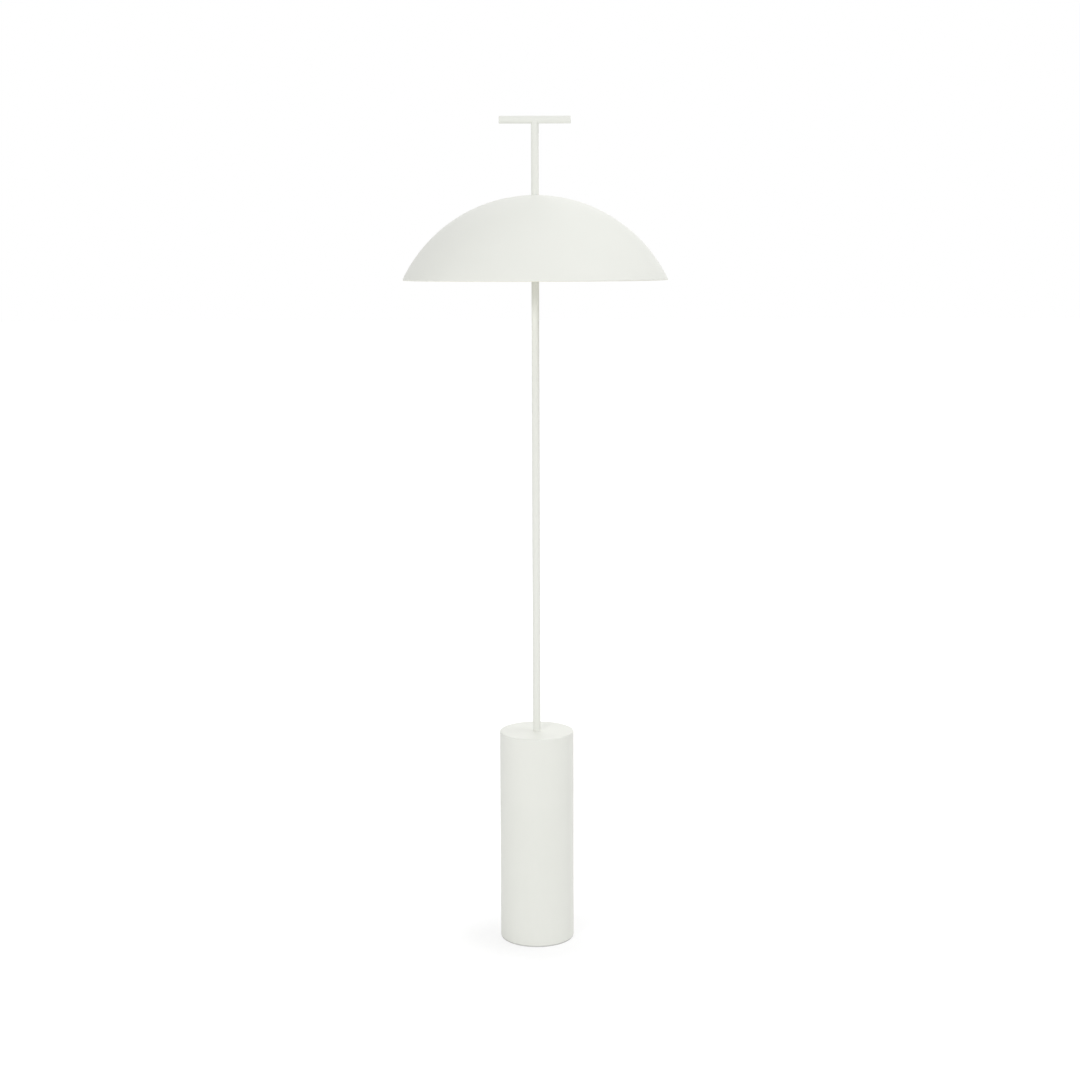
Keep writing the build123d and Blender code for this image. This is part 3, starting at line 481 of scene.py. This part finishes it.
def dress_nodes():
    """Gives every CAD node the finish of its material slot."""
    finish_of = {make.__name__: make().material for make in FINISHES}
    for node in frame["nodes"].values():
        for slot in node.material_slots:
            slot.material = finish_of[slot.material.name]


def seen_ray(tree):
    """1 for rays that show the studio itself, directly, in gloss or through glass, and 0 for the rest."""
    path = tree.nodes.new("ShaderNodeLightPath")
    total = path.outputs["Is Camera Ray"]
    for kind in ("Is Glossy Ray", "Is Transmission Ray"):
        add = tree.nodes.new("ShaderNodeMath")
        add.operation = "ADD"
        add.use_clamp = True
        tree.links.new(total, add.inputs[0])
        tree.links.new(path.outputs[kind], add.inputs[1])
        total = add.outputs["Value"]
    return total


def world():
    """Even studio light, seen as plain white."""
    made = bpy.data.worlds.new("studio")
    made.use_nodes = True
    tree = made.node_tree
    ambient = tree.nodes["Background"]
    ambient.inputs["Color"].default_value = WHITE
    ambient.inputs["Strength"].default_value = AMBIENT_STRENGTH
    shown = tree.nodes.new("ShaderNodeBackground")
    shown.inputs["Color"].default_value = WHITE
    mix = tree.nodes.new("ShaderNodeMixShader")
    tree.links.new(seen_ray(tree), mix.inputs["Fac"])
    tree.links.new(ambient.outputs["Background"], mix.inputs[1])
    tree.links.new(shown.outputs["Background"], mix.inputs[2])
    tree.links.new(mix.outputs["Shader"], tree.nodes["World Output"].inputs["Surface"])
    bpy.context.scene.world = made


def floor_glow_with_painted_shade(tree):
    """The floor's glow, which rises with the distance from the lamp and keeps the far floor white; held low
    near the lamp, it paints a soft shade round the base.
    """
    place = tree.nodes.new("ShaderNodeTexCoord")
    distance = tree.nodes.new("ShaderNodeVectorMath")
    distance.operation = "LENGTH"
    rise = tree.nodes.new("ShaderNodeMapRange")
    rise.interpolation_type = "SMOOTHSTEP"
    # Painted shade: the glow is held low near the lamp, so the floor round the base shows darker
    rise.inputs["From Min"].default_value = FLOOR_PAINTED_SHADE_RADIUS
    rise.inputs["From Max"].default_value = FLOOR_FAR_RADIUS
    rise.inputs["To Min"].default_value = FLOOR_PAINTED_SHADE_GLOW
    rise.inputs["To Max"].default_value = FLOOR_FAR_GLOW
    tree.links.new(place.outputs["Object"], distance.inputs[0])
    tree.links.new(distance.outputs["Value"], rise.inputs["Value"])
    return rise.outputs["Result"]


def floor_material():
    """A pale floor that shows as white and keeps the lamp's soft shadow, with painted shade round the base
    from its lower glow near the lamp.
    """
    made = bpy.data.materials.new("studio_floor")
    made.use_nodes = True
    made.cycles.emission_sampling = "NONE"
    tree = made.node_tree
    tree.nodes.remove(tree.nodes["Principled BSDF"])
    plain = tree.nodes.new("ShaderNodeBsdfDiffuse")
    plain.inputs["Color"].default_value = FLOOR_COLOUR
    glow = tree.nodes.new("ShaderNodeEmission")
    glow.inputs["Color"].default_value = WHITE
    tree.links.new(floor_glow_with_painted_shade(tree), glow.inputs["Strength"])
    shadowed = tree.nodes.new("ShaderNodeBsdfDiffuse")
    shadowed.inputs["Color"].default_value = FLOOR_SHOWN_COLOUR
    shown = tree.nodes.new("ShaderNodeAddShader")
    mix = tree.nodes.new("ShaderNodeMixShader")
    tree.links.new(glow.outputs["Emission"], shown.inputs[0])
    tree.links.new(shadowed.outputs["BSDF"], shown.inputs[1])
    tree.links.new(seen_ray(tree), mix.inputs["Fac"])
    tree.links.new(plain.outputs["BSDF"], mix.inputs[1])
    tree.links.new(shown.outputs["Shader"], mix.inputs[2])
    tree.links.new(mix.outputs["Shader"], tree.nodes["Material Output"].inputs["Surface"])
    return made


def floor():
    """The floor that the lamp stands on."""
    half = FLOOR_HALF_WIDTH
    mesh = bpy.data.meshes.new("studio_floor")
    corners = [(-half, -half, 0.0), (half, -half, 0.0), (half, half, 0.0), (-half, half, 0.0)]
    mesh.from_pydata(corners, [], [range(len(corners))])
    made = bpy.data.objects.new("studio_floor", mesh)
    made.location.z = -FLOOR_DROP
    made.data.materials.append(floor_material())
    bpy.context.collection.objects.link(made)


def aim(thing, target):
    """The turn that points a lamp or camera at the target, upright."""
    return (Vector(target) - thing.location).to_track_quat("-Z", "Y")


def soft_light(name, place, target, size, power, glints=False):
    """A soft lamp, out of the camera's sight, which the satin paint mirrors only where glints is set."""
    data = bpy.data.lights.new(name, "AREA")
    data.shape = "RECTANGLE"
    data.size, data.size_y = size
    data.energy = power
    made = bpy.data.objects.new(name, data)
    made.location = place
    made.rotation_euler = aim(made, target).to_euler()
    made.visible_camera = False
    made.visible_glossy = glints
    bpy.context.collection.objects.link(made)


def camera():
    """The camera at the photograph's viewing angle."""
    data = bpy.data.cameras.new("camera")
    data.lens = CAMERA_LENS
    data.shift_y = CAMERA_SHIFT_UP
    made = bpy.data.objects.new("camera", data)
    made.location = CAMERA_PLACE
    level = aim(made, CAMERA_TARGET)
    made.rotation_euler = (level @ Quaternion(CAMERA_ROLL_AXIS, CAMERA_ROLL)).to_euler()
    bpy.context.collection.objects.link(made)
    bpy.context.scene.camera = made


dress_nodes()
world()
floor()
for name, light in LIGHTS.items():
    soft_light(name, **light)
camera()
bpy.context.scene.view_settings.view_transform = "Standard"
